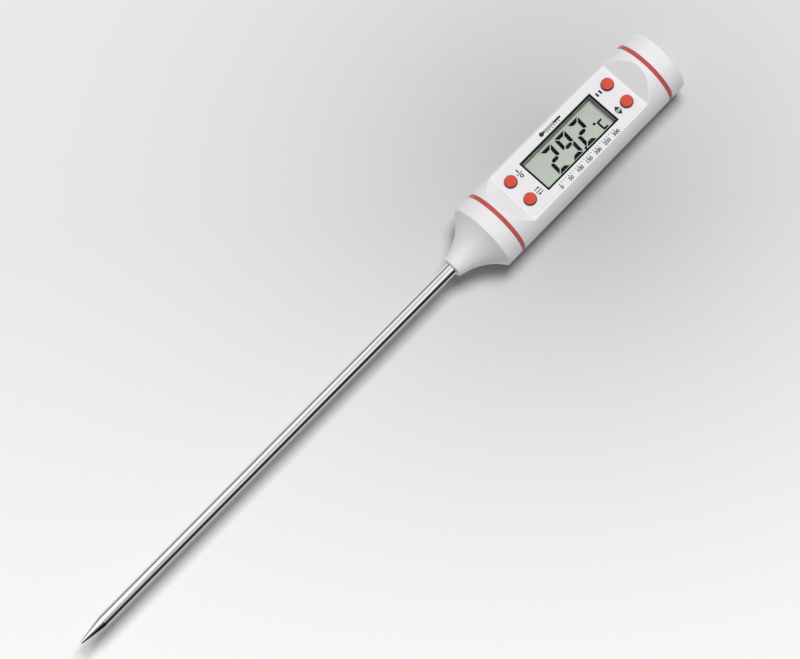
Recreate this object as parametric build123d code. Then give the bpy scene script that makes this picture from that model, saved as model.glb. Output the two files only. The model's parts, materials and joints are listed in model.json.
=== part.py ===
from build123d import *
import math
import os

# Pen-shaped digital probe thermometer.  All lengths are in millimetres.
# Frame: Z runs along the probe towards the battery cap, the display faces -Y, and the origin is the centre
# of the nose face, where the bare probe starts.

# ---- handle, outside ----
NOSE_FACE_R = 3.13
NOSE_THROAT_R = 4.0
NOSE_THROAT_Z = 3.2
NOSE_FLARE_R = 17.9
BAND_Z = 12.45
BAND_R = 10.94
BAND_TOP_Z = 17.6
RING_HEIGHT = 1.35
RING_EDGE_R = 0.12
BARREL_Z = BAND_TOP_Z + RING_HEIGHT
BARREL_TOP_Z = 79.25
BARREL_TOP_R = 10.60
CAP_Z = BARREL_TOP_Z + RING_HEIGHT
CAP_TOP_Z = 86.5
CAP_TOP_R = 10.57
CAP_EDGE_R = 1.6
NOSE_EDGE_R = 0.5
BAND_EDGE_R = 0.4
RING_DRAFT = 0.005
OVERCUT = 1.0

# ---- display panel: a flat with a ramp at each end ----
PANEL_Y = -5.96
PANEL_Z_LOW = 25.34
PANEL_Z_HIGH = 72.29
PANEL_RAMP = 40.0
PANEL_EDGE_R = 0.3
RELIEF_REACH = 13.0
RELIEF_HALF_WIDTH = 15.0
WALL = 1.36
LABEL_THICKNESS = 0.12
LABEL_FACE_Y = PANEL_Y - LABEL_THICKNESS
LABEL_HALF_WIDTH = 8.25
LABEL_MARGIN = 0.7
LABEL_CORNER_R = 1.2
OPENING_FRONT_Y = PANEL_Y - 2
OPENING_BACK_Y = PANEL_Y + 3

# ---- handle, inside ----
CAVITY_LOW_R = 9.45
CAVITY_HIGH_R = 9.1
CAVITY_TOP_Z = 75.9
SPIGOT_TOP_Z = 23.2
SPIGOT_BORE_R = 7.0
SPIGOT_GAP = 0.05
SPIGOT_DRAFT = 0.03
SPIGOT_FLOOR_Z = BAND_TOP_Z - 1.0
NOSE_NECK_R = 8.6
NOSE_WELL_Z = 9.5
NOSE_WELL_R = 3.4
RAIL_X = 6.9
RAIL_DEPTH = 0.65
RAIL_GAP = 0.05
RAIL_BACK_TOP_Z = PANEL_Z_HIGH - 1
RAIL_FRONT_TOP_Z = PANEL_Z_LOW + 5

# ---- battery cap thread ----
THREAD_PITCH = 1.5
THREAD_BORE_R = 7.85
THREAD_CORE_R = 7.7
THREAD_CREST_R = 8.25
THREAD_ROOT_WIDTH = 0.9
THREAD_CREST_WIDTH = 0.4
THREAD_GAP = 0.12
THREAD_FOOT = 0.3
THREAD_END = 0.5
GROOVE_RUN_OUT = 0.7
THREAD_ZERO_Z = 76.0
CAP_SPIGOT_Z = 76.3
CAP_NECK_Z = 79.0
CAP_NECK_R = 8.42
CAP_HOLLOW_R = 6.55
CAP_CEILING_Z = 84.6
NECK_GAP = 0.08
COUNTERBORE_Z = 78.9
COIN_SLOT = (12.0, 1.8, 1.0)

# ---- display ----
FRAME_HALF_WIDTH = 5.78
FRAME_Z_LOW = 34.33
FRAME_Z_HIGH = 63.38
FRAME_LINE = 0.55
BEZEL_GAP = 0.05
BEZEL_FLANGE_HALF_WIDTH = 6.3
BEZEL_FLANGE_Z_MARGIN = 1.1
BEZEL_FLANGE = 0.4
GASKET = 0.2
WINDOW_SETBACK = 0.15
WINDOW_THICKNESS = 0.8
LCD_FACE_Y = -4.0
POLARISER = 0.15
GLASS = 0.55
CELL_GAP = 0.06
LCD_HALF_WIDTH = 6.8
LCD_REAR_HALF_WIDTH = 5.4
LCD_MARGIN = 1.0
POLARISER_HALF_WIDTH = 6.2
POLARISER_MARGIN = 0.5
GASKET_MARGIN = 0.4
GASKET_LINE = 0.8
SEAL_LINE = 0.3
TRAY_HALF_WIDTH = 7.1
TRAY_MARGIN = 2.2
TRAY_WALL = 1.15
TRAY_LUG_HALF_WIDTH = 4.0
TRAY_GAP = 0.05
TRAY_FLOOR = 0.8
TRAY_OPENING_HALF_WIDTH = 5.0
TRAY_RIM = 2.4
ZEBRA_X_INNER = 5.6
ZEBRA_X_OUTER = 6.7
ZEBRA_MARGIN = 1.0
ZEBRA_GAP = 0.04

# ---- digits on the display, read along +Z with their tops towards -X ----
DIGIT_WIDTH = 4.2
DIGIT_HEIGHT = 8.6
DIGIT_STROKE = 1.12
DIGIT_GAP = 0.22
DIGIT_SLANT = 5.0
DIGIT_PITCH = 5.62
DIGIT_FIRST_Z = 43.0
READING = "292"
SEGMENTS_LIT = {"2": "abged", "9": "abcdfg"}
POINT_R = 0.42
DEGREE_X = 0.85
DEGREE_Z = 58.3
LETTER_X = 2.65
LETTER_Z = 59.85
LETTER_HEIGHT = 3.3
LETTER_WIDTH = 1.8
LETTER_STROKE = 0.6
LETTER_CORNER_R = 0.4

# ---- buttons ----
BUTTON_R = 1.9
BUTTON_X = 3.81
BUTTON_LOW_Z = 28.79
BUTTON_HIGH_Z = 68.82
BUTTON_STAND = 1.1
BUTTON_DOME = 0.16
BUTTON_EDGE_R = 0.3
BUTTON_GAP = 0.06
BUTTON_FLANGE_R = 2.45
BUTTON_FLANGE = 0.6
BUTTON_SKIRT_R = 1.2
BUTTON_SEAT = 0.05
CROWN_SHOULDER = 0.55
CROWN_DROP = 0.3

# ---- board and switches ----
BOARD_HALF_WIDTH = 7.5
BOARD_FRONT_Y = -0.8
BOARD_BACK_Y = 0.0
BOARD_TOP_Z = 72.6
BOARD_CORNER_R = 0.6
SWITCH_SIDE = 4.2
SWITCH_HEIGHT = 1.5
SWITCH_CORNER_R = 0.35
SWITCH_FLOOR = 0.2
PLUNGER_R = 1.0
PLUNGER_TOP_Y = -3.1
PLUNGER_BACK_Y = -1.45
PLUNGER_GAP = 0.05
DOME_R = 1.5
DOME_RISE = 0.35
DOME_THICKNESS = 0.1
DOME_GAP = 0.15
DOME_ROOM_Y = -1.85
SCREW_X = 5.6
SCREW_Z_MARGIN = 0.95
SCREW_R = 0.5
SCREW_HEAD_R = 0.95
SCREW_HEAD = 0.6
SCREW_HEAD_EDGE_R = 0.25
SCREW_REACH = 1.8
SCREW_CLEARANCE = 0.1
RECESS_HALF_LENGTH = 0.6
RECESS_HALF_WIDTH = 0.13
RECESS_FLOOR = 0.3
BLOB_Z = 48.0
BLOB_R = 3.6
BLOB_RISE = 1.2
CHIP_ROWS = {34.5: 1.0, 37.5: 1.6, 57.5: 1.0, 60.5: 1.6}
CHIP_COLUMNS = (-3.6, -1.2, 1.2, 3.6)
CHIP_WIDTH = 0.8
CHIP_HEIGHT = 0.5
CRYSTAL_X = -5.2
CRYSTAL_R = 1.0
CRYSTAL_Z_LOW = 39.5
CRYSTAL_Z_HIGH = 45.0
CRYSTAL_EDGE_R = 0.25

# ---- battery ----
CELL_R = 5.8
CELL_HEIGHT = 5.4
CELL_Z = 76.2
CELL_STEP = 0.6
CELL_LID_INSET = 0.9
CELL_EDGE_R = 0.25
CELL_LID_EDGE_R = 0.3
CUP_R = 6.4
CUP_BORE_R = 5.9
CUP_Z = 75.1
CUP_FLOOR_Z = 75.9
CUP_TOP_Z = 80.4
WELL_R = 3.6
WELL_BORE_R = 2.9
WELL_FLOOR_Z = 73.4
LEG_GAP = 0.05
LEG = 0.7
LEG_BACK_HALF_WIDTH = 5.0
LEG_FRONT_HALF_WIDTH = 3.0
LEG_BACK_Z = 71.0
LEG_FRONT_Z = 71.3
STRIP = 0.2
STRIP_HALF_WIDTH = 1.0
STRIP_GAP = 0.02
STRIP_TOP_Z = 80.0
STRIP_FOOT_Z = 70.5
STRIP_SLOT_HALF_WIDTH = 1.3
STRIP_SLOT_Y = 5.3
TAB_X_LOW = -2.8
TAB_X_HIGH = -1.2
TAB_BACK_Y = 4.2
TAB_FOOT_Z = 68.6
TAB_GAP = 0.1
WIRE_R = 0.22
SPRING_R = 2.4
SPRING_TURNS = 3
SPRING_CONE = -18
PAD_R = 4.0
PAD_GAP = 0.05

# ---- probe ----
TUBE_R = 1.85
TUBE_BORE_R = 1.5
TUBE_TOP_Z = 16.0
TUBE_SHOULDER_R = 2.1
TUBE_SHOULDER_Z = 0.1
POINT_Z = -141.1
TIP_Z = -149.7
TIP_R = 0.45
TUBE_END_WALL_Z = -143.9
TUBE_END_R = 0.6
BUSH_FLANGE = 1.0
BUSH_LENGTH = 3.5
BUSH_R = 2.5
BUSH_GAP = 0.3
POTTING_DROP = 0.6
BEAD_Z = -140.4
BEAD_R = 0.85
BEAD_LENGTH = 2.4
BEAD_EDGE_R = 0.6
FILLER_REACH = 3.0
LEAD_R = 0.28
LEAD_X = 0.42
LEAD_BEND = 4.2
LEAD_PAD_X = 1.5
LEAD_PAD_Z = SPIGOT_TOP_Z + 2.9
LEAD_END = 0.6
LEAD_GAP = 0.03
SOLDER_R = 0.75
SOLDER_RISE = 0.2
SOLDER_HALF_LENGTH = 0.5
SLEEVE_R = 1.25
SLEEVE_BORE_R = 1.02
SLEEVE_START = 3.2
SLEEVE_TOP_Z = 19.0

PARTS = {}


# ---- plain shapes ----

def rod(radius, z_low, z_high, x=0.0, y=0.0):
    """Cylinder along Z between two heights."""
    shape = Cylinder(radius, z_high - z_low, align=(Align.CENTER, Align.CENTER, Align.MIN))
    return Pos(x, y, z_low) * shape


def taper(r_low, r_high, z_low, z_high):
    """Cone frustum along Z between two heights, or a cylinder where both radii are the same."""
    if r_low == r_high:
        return rod(r_low, z_low, z_high)
    shape = Cone(r_low, r_high, z_high - z_low, align=(Align.CENTER, Align.CENTER, Align.MIN))
    return Pos(0, 0, z_low) * shape


def block(x_low, x_high, y_low, y_high, z_low, z_high):
    """Box given by its lowest and highest corners."""
    shape = Box(x_high - x_low, y_high - y_low, z_high - z_low, align=(Align.MIN,) * 3)
    return Pos(x_low, y_low, z_low) * shape


def stud(radius, y_low, y_high, x, z):
    """Cylinder along Y between two depths."""
    shape = Cylinder(radius, y_high - y_low, align=(Align.CENTER, Align.CENTER, Align.MIN))
    return Pos(x, y_low, z) * Rot(-90, 0, 0) * shape


def frame(half_width, z_low, z_high, line, y_low, y_high):
    """Rectangular frame in the plane of the panel."""
    outer = block(-half_width, half_width, y_low, y_high, z_low, z_high)
    inner = block(-half_width + line, half_width - line, y_low - 1, y_high + 1, z_low + line, z_high - line)
    return outer - inner


def turned(edges):
    """Solid of revolution about Z from a closed outline of radius and height."""
    return revolve(Plane.XZ * make_face(edges), Axis.Z)


def plate_y(face_in_xz, y_low, y_high):
    """Sketch drawn in X and Z, given thickness along Y."""
    return Pos(0, y_high, 0) * extrude(Plane.XZ * face_in_xz, y_high - y_low, dir=(0, -1, 0))


def button_places():
    """Name, X and Z of each button."""
    return {
        "on_off": (-BUTTON_X, BUTTON_LOW_Z),
        "unit": (BUTTON_X, BUTTON_LOW_Z),
        "hold": (-BUTTON_X, BUTTON_HIGH_Z),
        "max_min": (BUTTON_X, BUTTON_HIGH_Z),
    }


def screw_places():
    """X and Z of the four screws that join the LCD tray to the board."""
    low = FRAME_Z_LOW - SCREW_Z_MARGIN
    high = FRAME_Z_HIGH + SCREW_Z_MARGIN
    return [(x, z) for x in (-SCREW_X, SCREW_X) for z in (low, high)]


# ---- handle ----

def panel_relief(wall):
    """Space in front of the flat and its ramps, moved inwards by a wall thickness."""
    reach = RELIEF_REACH
    flat_y = PANEL_Y + wall
    grow = wall * math.tan(math.radians(PANEL_RAMP / 2))
    low = PANEL_Z_LOW - grow
    high = PANEL_Z_HIGH + grow
    run = (flat_y + reach) / math.tan(math.radians(PANEL_RAMP))
    outline = Polyline((0, flat_y, low), (0, flat_y, high), (0, -reach, high + run), (0, -reach, low - run),
                       (0, flat_y, low))
    return extrude(make_face(outline), RELIEF_HALF_WIDTH, dir=(1, 0, 0), both=True)


def thread(gap, z_low, z_high):
    """Right-hand helical ridge of the cap, widened all round by a gap for the groove in the barrel."""
    foot_r = THREAD_CORE_R - THREAD_FOOT
    crest_r = THREAD_CREST_R + gap
    slope = (THREAD_ROOT_WIDTH - THREAD_CREST_WIDTH) / 2 / (THREAD_CREST_R - THREAD_CORE_R)
    crest_half = THREAD_CREST_WIDTH / 2 + gap - gap * slope
    foot_half = crest_half + (crest_r - foot_r) * slope
    helix = Helix(pitch=THREAD_PITCH, height=z_high - z_low, radius=foot_r)
    start = Plane(origin=helix @ 0, x_dir=(1, 0, 0), z_dir=helix % 0)
    depth = crest_r - foot_r
    corners = [(0, -foot_half), (depth, -crest_half), (depth, crest_half), (0, foot_half)]
    profile = start * Polygon(*corners, align=None)
    ridge = sweep(profile, path=helix, is_frenet=True)
    phase = 360 * (z_low - THREAD_ZERO_Z) / THREAD_PITCH
    return Pos(0, 0, z_low) * Rot(0, 0, phase) * ridge


def display_opening():
    """Window in the front of the handle that the bezel lines."""
    half = FRAME_HALF_WIDTH + BEZEL_GAP
    low = FRAME_Z_LOW - BEZEL_GAP
    high = FRAME_Z_HIGH + BEZEL_GAP
    return block(-half, half, OPENING_FRONT_Y, OPENING_BACK_Y, low, high)


def rails():
    """Ribs in the barrel that guide the edges of the board."""
    back_y = BOARD_BACK_Y + RAIL_GAP
    front_y = BOARD_FRONT_Y - RAIL_GAP
    spans = [(back_y, back_y + RAIL_DEPTH, RAIL_BACK_TOP_Z)]
    spans += [(front_y - RAIL_DEPTH, front_y, RAIL_FRONT_TOP_Z)]
    ribs = []
    for y_low, y_high, top in spans:
        for side in (-1, 1):
            x_low, x_high = sorted((side * RAIL_X, side * CAVITY_LOW_R))
            ribs.append(block(x_low, x_high, y_low, y_high, SPIGOT_TOP_Z + RAIL_GAP, top))
    return ribs


def make_barrel():
    """White sleeve with the display flat, a keyed cavity and the cap's thread."""
    body = taper(BAND_R, BARREL_TOP_R, BARREL_Z, BARREL_TOP_Z) - panel_relief(0)
    panel_edges = body.edges().filter_by(lambda e: e.center().Y < PANEL_Y / 2)
    low, high = BARREL_Z + PANEL_EDGE_R, BARREL_TOP_Z - PANEL_EDGE_R
    panel_edges = panel_edges.filter_by(lambda e: low < e.center().Z < high)
    body = fillet(panel_edges, PANEL_EDGE_R)
    cavity = taper(CAVITY_LOW_R, CAVITY_HIGH_R, BARREL_Z, CAVITY_TOP_Z) - panel_relief(WALL)
    for rib in rails():
        cavity -= rib
    body -= cavity
    body -= rod(THREAD_BORE_R, CAVITY_TOP_Z, BARREL_TOP_Z + OVERCUT)
    body -= rod(CAP_NECK_R + NECK_GAP, COUNTERBORE_Z, BARREL_TOP_Z + OVERCUT)
    body -= thread(THREAD_GAP, CAVITY_TOP_Z - GROOVE_RUN_OUT, COUNTERBORE_Z + GROOVE_RUN_OUT)
    body -= display_opening()
    for x, z in button_places().values():
        body -= stud(BUTTON_R + BUTTON_GAP, OPENING_FRONT_Y, OPENING_BACK_Y, x, z)
    return body


def make_nose_cone():
    """White flared nose with a bore for the tube, a well for its collar and a keyed spigot."""
    throat = (NOSE_THROAT_R, NOSE_THROAT_Z)
    rim = (BAND_R, BAND_Z)
    outline = [Line((0, 0), (NOSE_FACE_R, 0)), Line((NOSE_FACE_R, 0), throat)]
    outline += [RadiusArc(throat, rim, NOSE_FLARE_R), Line(rim, (BAND_R, BAND_TOP_Z))]
    outline += [Line((BAND_R, BAND_TOP_Z), (0, BAND_TOP_Z)), Line((0, BAND_TOP_Z), (0, 0))]
    nose = turned(outline)
    face_edge = nose.edges().filter_by(GeomType.CIRCLE).sort_by(Axis.Z)[0]
    nose = fillet(face_edge, NOSE_EDGE_R)
    shoulder = nose.edges().filter_by(GeomType.CIRCLE).sort_by(lambda e: abs(e.center().Z - BAND_Z))[0]
    nose = fillet(shoulder, BAND_EDGE_R)
    nose += rod(NOSE_NECK_R, BAND_TOP_Z, BARREL_Z)
    spigot_r = CAVITY_LOW_R - SPIGOT_GAP - SPIGOT_DRAFT
    nose += rod(spigot_r, BARREL_Z, SPIGOT_TOP_Z) - panel_relief(WALL + SPIGOT_GAP)
    nose -= rod(SPIGOT_BORE_R, SPIGOT_FLOOR_Z, SPIGOT_TOP_Z + OVERCUT)
    nose -= taper(NOSE_WELL_R, SPIGOT_BORE_R, NOSE_WELL_Z, SPIGOT_FLOOR_Z)
    nose -= rod(TUBE_R, -OVERCUT, TUBE_SHOULDER_Z)
    nose -= rod(TUBE_SHOULDER_R, TUBE_SHOULDER_Z, NOSE_WELL_Z + OVERCUT)
    return nose


def make_end_cap():
    """White battery cap: hollow threaded spigot, plain neck, coin slot in the end."""
    cap = taper(BARREL_TOP_R - RING_DRAFT, CAP_TOP_R, CAP_Z, CAP_TOP_Z)
    cap = fillet(cap.edges().filter_by(GeomType.CIRCLE).sort_by(Axis.Z)[-1], CAP_EDGE_R)
    cap += rod(CAP_NECK_R, CAP_NECK_Z, CAP_Z)
    cap += rod(THREAD_CORE_R, CAP_SPIGOT_Z, CAP_NECK_Z)
    cap += thread(0, CAP_SPIGOT_Z + THREAD_END, CAP_NECK_Z - THREAD_END)
    cap -= rod(CAP_HOLLOW_R, CAP_SPIGOT_Z - OVERCUT, CAP_CEILING_Z)
    slot_x, slot_y, slot_z = COIN_SLOT
    cap -= block(-slot_x / 2, slot_x / 2, -slot_y / 2, slot_y / 2, CAP_TOP_Z - slot_z, CAP_TOP_Z + OVERCUT)
    return cap


def make_seal_ring(outer_low, outer_high, inner, z_low):
    """Flat-sided red ring, flush with the handle and rounded slightly at its outer edges."""
    z_high = z_low + RING_HEIGHT
    ring = taper(outer_low, outer_high, z_low, z_high) - rod(inner, z_low - OVERCUT, z_high + OVERCUT)
    rims = ring.edges().filter_by(GeomType.CIRCLE).sort_by(lambda e: e.radius)[-2:]
    return fillet(rims, RING_EDGE_R)


def add_handle():
    PARTS["barrel"] = make_barrel()
    PARTS["nose_cone"] = make_nose_cone()
    PARTS["end_cap"] = make_end_cap()
    PARTS["nose_seal_ring"] = make_seal_ring(BAND_R, BAND_R, NOSE_NECK_R, BAND_TOP_Z)
    cap_r = BARREL_TOP_R - RING_DRAFT
    PARTS["cap_seal_ring"] = make_seal_ring(BARREL_TOP_R, cap_r, CAP_NECK_R, BARREL_TOP_Z)


# ---- panel and display ----

def make_panel_label():
    """White printed film with openings for the bezel and the buttons."""
    z_low = PANEL_Z_LOW + LABEL_MARGIN
    z_high = PANEL_Z_HIGH - LABEL_MARGIN
    sheet = RectangleRounded(2 * LABEL_HALF_WIDTH, z_high - z_low, LABEL_CORNER_R)
    film = plate_y(Pos(0, (z_low + z_high) / 2) * sheet, LABEL_FACE_Y, PANEL_Y)
    film -= display_opening()
    for x, z in button_places().values():
        film -= stud(BUTTON_R + 2 * BUTTON_GAP, OPENING_FRONT_Y, OPENING_BACK_Y, x, z)
    return film


def make_bezel():
    """Black frame that lines the opening, with a flange behind the panel."""
    back_y = LCD_FACE_Y - GASKET
    bezel = frame(FRAME_HALF_WIDTH, FRAME_Z_LOW, FRAME_Z_HIGH, FRAME_LINE, LABEL_FACE_Y, back_y)
    low = FRAME_Z_LOW - BEZEL_FLANGE_Z_MARGIN
    high = FRAME_Z_HIGH + BEZEL_FLANGE_Z_MARGIN
    half = BEZEL_FLANGE_HALF_WIDTH
    flange = block(-half, half, back_y - BEZEL_FLANGE, back_y, low, high)
    inside = FRAME_HALF_WIDTH - FRAME_LINE
    flange -= block(-inside, inside, OPENING_FRONT_Y, 0, FRAME_Z_LOW + FRAME_LINE, FRAME_Z_HIGH - FRAME_LINE)
    return bezel + flange


def make_window():
    """Clear pane just below the face of the bezel."""
    inside = FRAME_HALF_WIDTH - FRAME_LINE
    front = LABEL_FACE_Y + WINDOW_SETBACK
    back = front + WINDOW_THICKNESS
    return block(-inside, inside, front, back, FRAME_Z_LOW + FRAME_LINE, FRAME_Z_HIGH - FRAME_LINE)


def make_gasket():
    """Foam frame between the bezel and the LCD."""
    low = FRAME_Z_LOW - GASKET_MARGIN
    high = FRAME_Z_HIGH + GASKET_MARGIN
    return frame(POLARISER_HALF_WIDTH, low, high, GASKET_LINE, LCD_FACE_Y - GASKET, LCD_FACE_Y)


def make_polariser():
    """Thin film on the front of the LCD."""
    half = POLARISER_HALF_WIDTH
    low = FRAME_Z_LOW - POLARISER_MARGIN
    high = FRAME_Z_HIGH + POLARISER_MARGIN
    return block(-half, half, LCD_FACE_Y, LCD_FACE_Y + POLARISER, low, high)


def lcd_planes():
    """Depths of the LCD's layers, front to back."""
    glass_y = LCD_FACE_Y + POLARISER
    cell_y = glass_y + GLASS
    rear_y = cell_y + CELL_GAP
    reflector_y = rear_y + GLASS
    return glass_y, cell_y, rear_y, reflector_y, reflector_y + POLARISER


def segment_outlines():
    """Corners of the seven bars of one digit, about its centre: along the reading, then up."""
    w = DIGIT_WIDTH / 2
    h = DIGIT_HEIGHT / 2
    k = DIGIT_STROKE
    g = DIGIT_GAP
    top = [(-w + g, h), (w - g, h), (w - k - g, h - k), (-w + k + g, h - k)]
    middle = [(-w + k + g, k / 2), (w - k - g, k / 2), (w - k / 2 - g, 0), (w - k - g, -k / 2)]
    middle += [(-w + k + g, -k / 2), (-w + k / 2 + g, 0)]
    side = [(w, h - g), (w, g), (w - k / 2, g), (w - k, k / 2 + g), (w - k, h - k - g)]
    flip_x = [(-x, y) for x, y in side]
    return {
        "a": top,
        "b": side,
        "c": [(x, -y) for x, y in side],
        "d": [(x, -y) for x, y in top],
        "e": [(x, -y) for x, y in flip_x],
        "f": flip_x,
        "g": middle,
    }


def lcd_shape(points, centre_z):
    """Dark LCD shape from corners in reading direction and height, leaning with the digits."""
    lean = math.tan(math.radians(DIGIT_SLANT))
    corners = [(-up, centre_z + along + up * lean) for along, up in points]
    cell_y = lcd_planes()[1]
    return plate_y(Polygon(*corners, align=None), cell_y, cell_y + CELL_GAP)


def make_lcd_segments():
    """Lit bars of the reading, its decimal point and the unit sign."""
    outlines = segment_outlines()
    shapes = []
    for index, digit in enumerate(READING):
        centre_z = DIGIT_FIRST_Z + index * DIGIT_PITCH
        shapes += [lcd_shape(outlines[bar], centre_z) for bar in SEGMENTS_LIT[digit]]
    cell_y = lcd_planes()[1]
    point_z = DIGIT_FIRST_Z + 1.5 * DIGIT_PITCH
    point_x = DIGIT_HEIGHT / 2 - POINT_R / 2
    shapes.append(stud(POINT_R, cell_y, cell_y + CELL_GAP, point_x, point_z))
    shapes.append(stud(POINT_R, cell_y, cell_y + CELL_GAP, DEGREE_X, DEGREE_Z))
    hollow = Rectangle(LETTER_HEIGHT - 2 * LETTER_STROKE, LETTER_WIDTH)
    letter = Rectangle(LETTER_HEIGHT, LETTER_WIDTH) - Pos(0, LETTER_STROKE) * hollow
    letter = fillet(letter.vertices().sort_by(Axis.Y)[:2], LETTER_CORNER_R)
    shapes.append(plate_y(Pos(LETTER_X, LETTER_Z) * letter, cell_y, cell_y + CELL_GAP))
    return Compound(children=[s.solid() for s in shapes])


def make_lcd_holder():
    """Moulded tray between the board and the LCD, with slots for the zebra strips."""
    planes = lcd_planes()
    glass_y, cell_y, back_y = planes[0], planes[1], planes[-1]
    low = FRAME_Z_LOW - TRAY_MARGIN
    high = FRAME_Z_HIGH + TRAY_MARGIN
    tray = block(-TRAY_HALF_WIDTH, TRAY_HALF_WIDTH, cell_y, BOARD_FRONT_Y, low, high)
    for z_low, z_high in ((low, low + TRAY_WALL), (high - TRAY_WALL, high)):
        tray += block(-TRAY_LUG_HALF_WIDTH, TRAY_LUG_HALF_WIDTH, glass_y, cell_y, z_low, z_high)
    pocket = LCD_REAR_HALF_WIDTH + TRAY_GAP
    tray -= block(-pocket, pocket, cell_y - OVERCUT, back_y, FRAME_Z_LOW - TRAY_GAP, FRAME_Z_HIGH + TRAY_GAP)
    opening = TRAY_OPENING_HALF_WIDTH
    tray -= block(-opening, opening, back_y + TRAY_FLOOR, 0, low + TRAY_RIM, high - TRAY_RIM)
    for strip in zebra_blocks(ZEBRA_GAP):
        tray -= strip
    for x, z in screw_places():
        tray -= stud(SCREW_R, BOARD_FRONT_Y - SCREW_REACH - TRAY_GAP, BOARD_FRONT_Y + OVERCUT, x, z)
    return tray


def zebra_blocks(gap):
    """Two elastomer strips between the front glass and the board."""
    y_low = lcd_planes()[1]
    z_low = FRAME_Z_LOW + ZEBRA_MARGIN - gap
    z_high = FRAME_Z_HIGH - ZEBRA_MARGIN + gap
    inner = ZEBRA_X_INNER - gap
    outer = ZEBRA_X_OUTER + gap
    left = block(-outer, -inner, y_low, BOARD_FRONT_Y, z_low, z_high)
    right = block(inner, outer, y_low, BOARD_FRONT_Y, z_low, z_high)
    return [left, right]


def add_display():
    glass_y, cell_y, rear_y, reflector_y, back_y = lcd_planes()
    low = FRAME_Z_LOW - LCD_MARGIN
    high = FRAME_Z_HIGH + LCD_MARGIN
    inner_half = LCD_REAR_HALF_WIDTH
    PARTS["panel_label"] = make_panel_label()
    PARTS["display_bezel"] = make_bezel()
    PARTS["display_window"] = make_window()
    PARTS["display_gasket"] = make_gasket()
    PARTS["lcd_front_polariser"] = make_polariser()
    PARTS["lcd_front_glass"] = block(-LCD_HALF_WIDTH, LCD_HALF_WIDTH, glass_y, cell_y, low, high)
    PARTS["lcd_edge_seal"] = frame(inner_half, FRAME_Z_LOW, FRAME_Z_HIGH, SEAL_LINE, cell_y, rear_y)
    PARTS["lcd_segments"] = make_lcd_segments()
    PARTS["lcd_rear_glass"] = block(-inner_half, inner_half, rear_y, reflector_y, FRAME_Z_LOW, FRAME_Z_HIGH)
    PARTS["lcd_reflector"] = block(-inner_half, inner_half, reflector_y, back_y, FRAME_Z_LOW, FRAME_Z_HIGH)
    PARTS["zebra_strips"] = Compound(children=[s.solid() for s in zebra_blocks(0)])
    PARTS["lcd_holder"] = make_lcd_holder()


# ---- buttons and switches ----

def make_button(x, z):
    """Red cap with a domed top, a flange behind the panel and a short skirt on the plunger."""
    flange_front = PANEL_Y + WALL + BUTTON_SEAT
    flange_back = flange_front + BUTTON_FLANGE
    top = BUTTON_STAND - LABEL_FACE_Y
    rim = top - BUTTON_DOME
    start = -flange_front
    outline = [Line((0, start), (BUTTON_R, start)), Line((BUTTON_R, start), (BUTTON_R, rim))]
    crown = (BUTTON_R * CROWN_SHOULDER, top - CROWN_DROP * BUTTON_DOME)
    outline += [ThreePointArc((BUTTON_R, rim), crown, (0, top))]
    outline += [Line((0, top), (0, start))]
    cap = turned(outline)
    edge = cap.edges().filter_by(GeomType.CIRCLE).sort_by(lambda e: abs(e.center().Z - rim))[0]
    cap = fillet(edge, BUTTON_EDGE_R)
    cap = Pos(x, 0, z) * Rot(90, 0, 0) * cap
    cap += stud(BUTTON_FLANGE_R, flange_front, flange_back, x, z)
    cap += stud(BUTTON_SKIRT_R, flange_front, PLUNGER_TOP_Y, x, z)
    return cap


def make_switch_body(x, z):
    """Square switch housing with a hole for its plunger and a hollow for its dome."""
    half = SWITCH_SIDE / 2
    top = BOARD_FRONT_Y - SWITCH_HEIGHT
    body = block(x - half, x + half, top, BOARD_FRONT_Y, z - half, z + half)
    body = fillet(body.edges().filter_by(Axis.Y), SWITCH_CORNER_R)
    body -= stud(PLUNGER_R + PLUNGER_GAP, top - OVERCUT, DOME_ROOM_Y, x, z)
    body -= stud(DOME_R + DOME_GAP, DOME_ROOM_Y, BOARD_FRONT_Y - SWITCH_FLOOR, x, z)
    return body


def make_dome(x, z):
    """Thin snap dome under a plunger."""
    base = BOARD_FRONT_Y - SWITCH_FLOOR
    r = (DOME_R ** 2 + DOME_RISE ** 2) / 2 / DOME_RISE
    shell = Sphere(r) - Sphere(r - DOME_THICKNESS)
    crown = base - DOME_RISE
    shell = Pos(x, crown + r, z) * shell
    room = block(x - r, x + r, crown, base, z - r, z + r)
    return (shell & room).solid()


def make_plunger(x, z):
    """Round plunger that carries a button's press to the dome."""
    return stud(PLUNGER_R, PLUNGER_TOP_Y, PLUNGER_BACK_Y, x, z)


def add_buttons():
    bodies = []
    domes = []
    for name, (x, z) in button_places().items():
        PARTS[name + "_button"] = make_button(x, z)
        PARTS[name + "_plunger"] = make_plunger(x, z)
        bodies.append(make_switch_body(x, z).solid())
        domes.append(make_dome(x, z))
    PARTS["switch_bodies"] = Compound(children=bodies)
    PARTS["switch_domes"] = Compound(children=domes)


# ---- board ----

def make_board():
    """Circuit board with rounded corners and clearance holes for the screws."""
    height = BOARD_TOP_Z - SPIGOT_TOP_Z
    sheet = RectangleRounded(2 * BOARD_HALF_WIDTH, height, BOARD_CORNER_R)
    sheet = Pos(0, SPIGOT_TOP_Z + height / 2) * sheet
    board = plate_y(sheet, BOARD_FRONT_Y, BOARD_BACK_Y)
    for x, z in screw_places():
        board -= stud(SCREW_R + SCREW_CLEARANCE, BOARD_FRONT_Y - OVERCUT, BOARD_BACK_Y + OVERCUT, x, z)
    return board


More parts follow.
